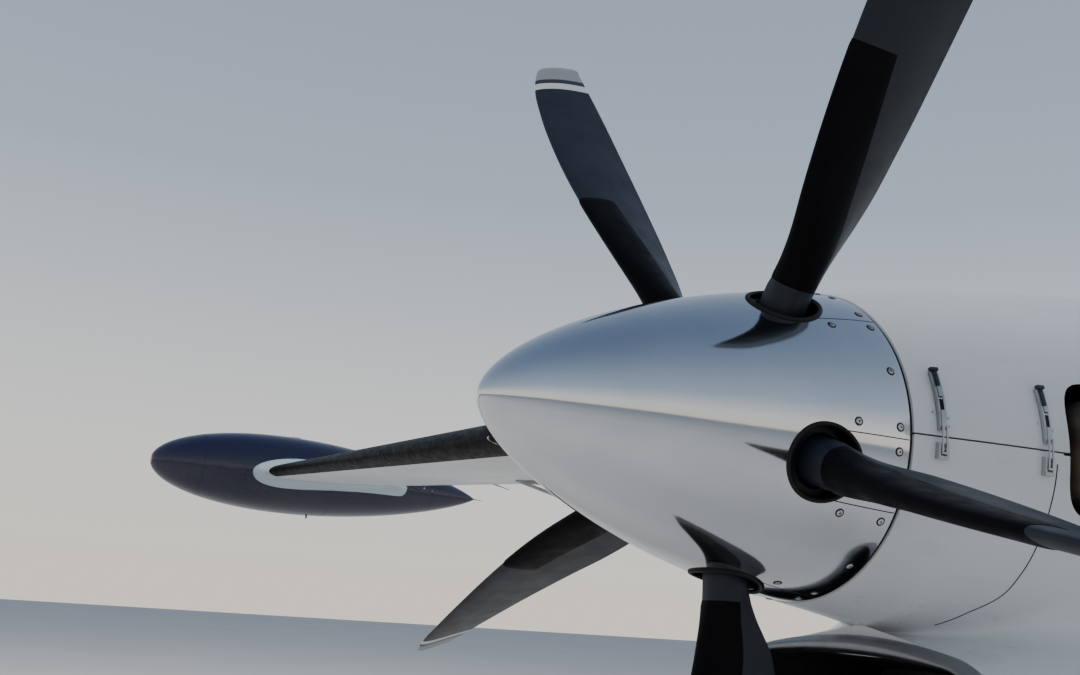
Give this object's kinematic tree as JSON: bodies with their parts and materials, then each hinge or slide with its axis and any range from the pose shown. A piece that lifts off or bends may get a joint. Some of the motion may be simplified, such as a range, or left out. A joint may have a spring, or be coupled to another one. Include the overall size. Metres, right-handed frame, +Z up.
{
  "type": "aircraft wing with turboprop engine and propeller",
  "caption": "Starboard wing of a twin-turboprop commuter aircraft with engine nacelle, multi-blade propeller, polished spinner, flaps, aileron and teardrop tip tank.",
  "frame": {"origin": "on the root rib's outer face, at the main spar, where the wing joins the fuselage", "axes": "+X inboard out of the root rib, +Y aft, +Z up; the wing reaches along -X and the propeller faces -Y"},
  "size_m": [9.1083, 3.6805, 2.1079],
  "materials": {
    "paint": "satin white",
    "polished": "polished",
    "dark": "matt",
    "steel": "heat stained",
    "alloy": "satin",
    "rubber": "matt",
    "blade": "satin charcoal",
    "pale": "satin",
    "navy": "gloss"
  },
  "bodies": {
    "root": {"cowl_keel": "paint", "cowl_lower": "paint", "intake_lip": "polished", "engine_block": "dark", "exhaust_stub_inboard": "steel", "exhaust_stub_outboard": "steel", "nose_ring": "dark", "firewall": "steel", "engine_mount": "steel", "nacelle_fairing": "paint", "keeper_inboard_1": "alloy", "keeper_inboard_2": "alloy", "keeper_outboard_1": "alloy", "keeper_outboard_2": "alloy", "root_rib": "alloy", "flap_inner_bracket_1": "alloy", "flap_inner_bracket_2": "alloy", "flap_outer_bracket_1": "alloy", "flap_outer_bracket_2": "alloy", "wing_main": "paint", "tip_tank": "navy", "tank_fairing": "pale"},
    "cowl_door_inboard": {"cowl_door_inboard": "paint", "latch_inboard_1": "alloy", "latch_inboard_2": "alloy"},
    "cowl_door_outboard": {"cowl_door_outboard": "paint", "latch_outboard_1": "alloy", "latch_outboard_2": "alloy"},
    "propeller": {"spinner": "polished", "spinner_backplate": "alloy", "propeller_hub": "alloy", "blade_seal_1": "rubber", "blade_seal_2": "rubber", "blade_seal_3": "rubber", "blade_seal_4": "rubber", "blade_seal_5": "rubber"},
    "blade_1": {"blade_1": "blade"},
    "blade_2": {"blade_2": "blade"},
    "blade_3": {"blade_3": "blade"},
    "blade_4": {"blade_4": "blade"},
    "blade_5": {"blade_5": "blade"},
    "flap_inner": {"flap_inner": "paint"},
    "flap_outer": {"flap_outer": "paint"},
    "aileron": {"aileron": "paint"},
    "aileron_tab": {"aileron_tab": "pale"}
  },
  "joints": [
    {"name": "prop_spin", "type": "hinge", "parent": "root", "child": "propeller", "pos_m": [-1.36, -1.45248, -0.33284], "axis": [0, -1, 0], "continuous": true},
    {"name": "blade_pitch_1", "type": "hinge", "parent": "propeller", "child": "blade_1", "pos_m": [-1.36, -1.58348, -0.33284], "axis": [0.5534, 0, 0.8329], "range_deg": [-100, 0]},
    {"name": "blade_pitch_2", "type": "hinge", "parent": "propeller", "child": "blade_2", "pos_m": [-1.36, -1.58348, -0.33284], "axis": [0.9632, 0, -0.2689], "range_deg": [-100, 0]},
    {"name": "blade_pitch_3", "type": "hinge", "parent": "propeller", "child": "blade_3", "pos_m": [-1.36, -1.58348, -0.33284], "axis": [0.0419, 0, -0.9991], "range_deg": [-100, 0]},
    {"name": "blade_pitch_4", "type": "hinge", "parent": "propeller", "child": "blade_4", "pos_m": [-1.36, -1.58348, -0.33284], "axis": [-0.9373, 0, -0.3486], "range_deg": [-100, 0]},
    {"name": "blade_pitch_5", "type": "hinge", "parent": "propeller", "child": "blade_5", "pos_m": [-1.36, -1.58348, -0.33284], "axis": [-0.6211, 0, 0.7837], "range_deg": [-100, 0]},
    {"name": "door_inboard_hinge", "type": "hinge", "parent": "root", "child": "cowl_door_inboard", "pos_m": [-1.3405, -1.44948, -0.07084], "axis": [0, -0.9831, -0.1829], "range_deg": [0, 40]},
    {"name": "door_outboard_hinge", "type": "hinge", "parent": "root", "child": "cowl_door_outboard", "pos_m": [-1.3795, -1.44948, -0.07084], "axis": [0, 0.9831, 0.1829], "range_deg": [0, 40]},
    {"name": "flap_inner_hinge", "type": "hinge", "parent": "root", "child": "flap_inner", "pos_m": [-0.06, 1.03613, -0.23232], "axis": [-0.9964, -0.0728, 0.0427], "range_deg": [0, 42]},
    {"name": "flap_outer_hinge", "type": "hinge", "parent": "root", "child": "flap_outer", "pos_m": [-3.264, 0.80192, -0.09512], "axis": [-0.9964, -0.0728, 0.0427], "range_deg": [0, 42]},
    {"name": "aileron_hinge", "type": "hinge", "parent": "root", "child": "aileron", "pos_m": [-6.524, 0.56361, 0.1599], "axis": [-0.997, -0.0729, 0.0278], "range_deg": [-28, 18]},
    {"name": "aileron_tab_hinge", "type": "hinge", "parent": "aileron", "child": "aileron_tab", "pos_m": [-6.86, 0.76965, 0.16044], "axis": [-0.9946, -0.1, 0.0287], "range_deg": [-20, 20]}
  ],
  "couplings": [
    {"joint": "blade_pitch_2", "follows": "blade_pitch_1", "ratio": 1},
    {"joint": "blade_pitch_3", "follows": "blade_pitch_1", "ratio": 1},
    {"joint": "blade_pitch_4", "follows": "blade_pitch_1", "ratio": 1},
    {"joint": "blade_pitch_5", "follows": "blade_pitch_1", "ratio": 1},
    {"joint": "flap_outer_hinge", "follows": "flap_inner_hinge", "ratio": 1}
  ]
}
